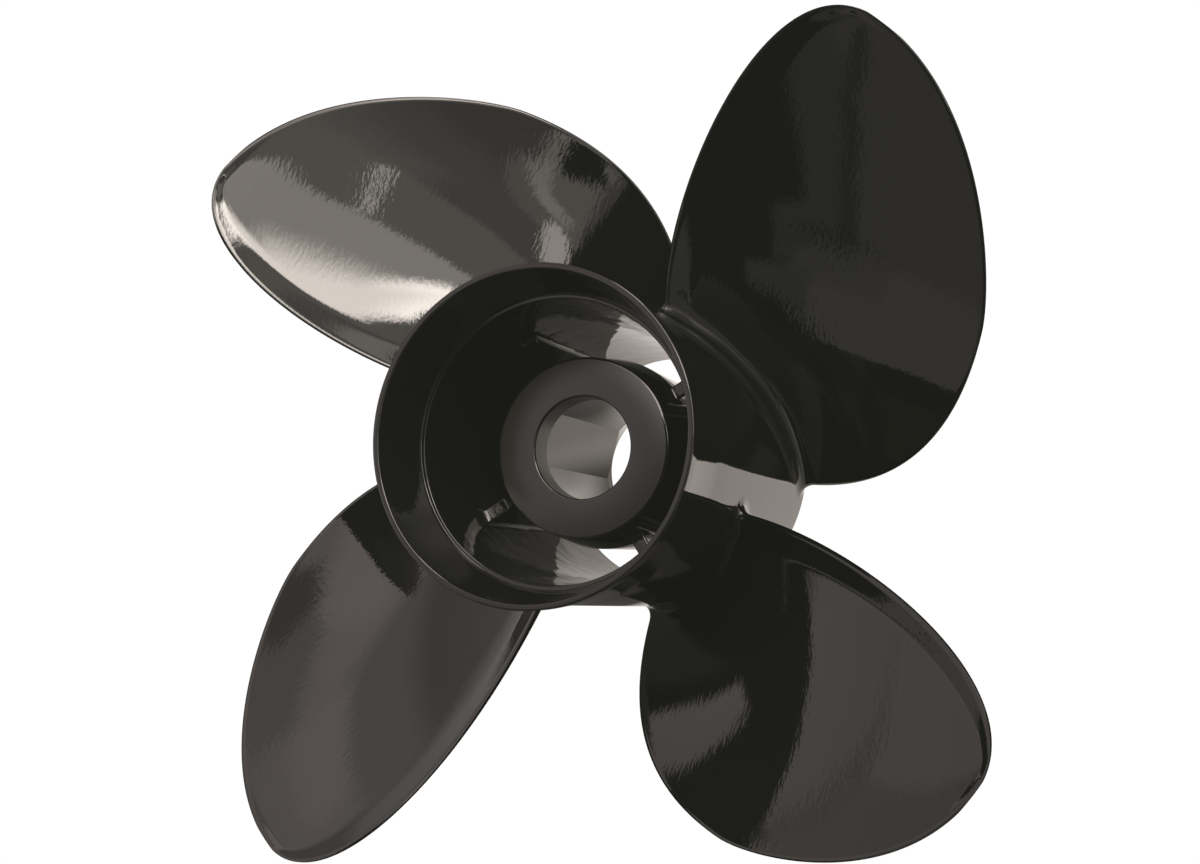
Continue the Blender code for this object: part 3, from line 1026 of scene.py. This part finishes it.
def panel_mask(tree, direction, corners, softness):
    """1 inside a panel and 0 outside it, from how far inside its nearest edge a direction lies."""
    points = [bearing(*corner) for corner in corners]
    middle = sum(points, Vector())
    nearest = None
    for start, end in zip(points, points[1:] + points[:1]):
        inward = start.cross(end).normalized()
        if inward.dot(middle) < 0:
            inward.negate()
        depth = add_node(tree, "ShaderNodeVectorMath", operation="DOT_PRODUCT")
        tree.links.new(direction, depth.inputs[0])
        depth.inputs[1].default_value = inward
        inside = depth.outputs["Value"]
        nearest = inside if nearest is None else smaller(tree, nearest, inside)
    half = math.sin(math.radians(softness)) / 2
    fade = add_node(tree, "ShaderNodeMapRange", interpolation_type="SMOOTHSTEP")
    tree.links.new(nearest, fade.inputs["Value"])
    fade.inputs["From Min"].default_value = -half
    fade.inputs["From Max"].default_value = half
    return fade.outputs["Result"]


def smaller(tree, first, second):
    node = add_node(tree, "ShaderNodeMath", operation="MINIMUM")
    tree.links.new(first, node.inputs[0])
    tree.links.new(second, node.inputs[1])
    return node.outputs["Value"]


def side_tint(tree, direction):
    """The colour of the light, pinker from the west than from the east."""
    west = add_node(tree, "ShaderNodeVectorMath", operation="DOT_PRODUCT")
    west.inputs[1].default_value = bearing(WEST_AZIMUTH, 90)
    tree.links.new(direction, west.inputs[0])
    share = add_node(tree, "ShaderNodeMapRange")
    share.inputs["From Min"].default_value = TINT_START
    share.inputs["From Max"].default_value = TINT_END
    tree.links.new(west.outputs["Value"], share.inputs["Value"])
    tint = add_node(tree, "ShaderNodeMix", data_type="RGBA")
    colours = [socket for socket in tint.inputs if socket.type == "RGBA"]
    colours[0].default_value, colours[1].default_value = EAST_TINT, WEST_TINT
    tree.links.new(share.outputs["Result"], tint.inputs["Factor"])
    return next(socket for socket in tint.outputs if socket.type == "RGBA")


def add_world():
    """A dark room with soft panels, painted one over another."""
    world = bpy.data.worlds.new("room")
    world.use_nodes = True
    tree = world.node_tree
    background = tree.nodes["Background"]
    direction = add_node(tree, "ShaderNodeTexCoord").outputs["Generated"]
    tree.links.new(side_tint(tree, direction), background.inputs["Color"])
    below = None
    for corners, radiance, softness in PANELS:
        over = add_node(tree, "ShaderNodeMix")
        tree.links.new(panel_mask(tree, direction, corners, softness), over.inputs["Factor"])
        over.inputs["A"].default_value = 0.0
        over.inputs["B"].default_value = radiance
        if below:
            tree.links.new(below.outputs["Result"], over.inputs["A"])
        below = over
    tree.links.new(below.outputs["Result"], background.inputs["Strength"])
    bpy.context.scene.world = world


class PROPELLER_OT_stage(bpy.types.Operator):
    """Makes the studio, the table, the room that the paint mirrors and the camera"""

    bl_idname = "propeller.stage"
    bl_label = "Stage"

    def execute(self, context):
        view = context.scene.view_settings
        view.view_transform = "Standard"
        view.use_curve_mapping = True
        view.curve_mapping.black_level = [-level for level in VEIL]
        view.curve_mapping.update()
        add_studio()
        add_table()
        add_world()
        add_camera()
        return {"FINISHED"}


class PROPELLER_PT_panel(bpy.types.Panel):
    """Lists the propeller's pieces"""

    bl_idname = "PROPELLER_PT_panel"
    bl_label = "Ship propeller"
    bl_space_type = "VIEW_3D"
    bl_region_type = "UI"
    bl_category = "Propeller"

    def draw(self, context):
        for piece in PIECES:
            self.layout.operator(piece.bl_idname)


PIECES = (
    PROPELLER_OT_barrel,
    PROPELLER_OT_inner_hub,
    PROPELLER_OT_ribs,
    PROPELLER_OT_blades,
    PROPELLER_OT_stage,
)
CLASSES = (
    HubSettings,
    BladeSettings,
    FinishSettings,
    StageSettings,
    PropellerSettings,
    *PIECES,
    PROPELLER_PT_panel,
)


def register():
    for item in CLASSES:
        bpy.utils.register_class(item)
    bpy.types.Scene.propeller = bpy.props.PointerProperty(type=PropellerSettings)


def unregister():
    del bpy.types.Scene.propeller
    for item in reversed(CLASSES):
        bpy.utils.unregister_class(item)


def corners():
    return [list(corner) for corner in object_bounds()]


def main():
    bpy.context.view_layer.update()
    register()
    bpy.ops.propeller.barrel()
    bpy.ops.propeller.inner_hub()
    bpy.ops.propeller.ribs()
    bpy.ops.propeller.blades()
    bpy.ops.propeller.stage()


if __name__ == "__main__":
    main()
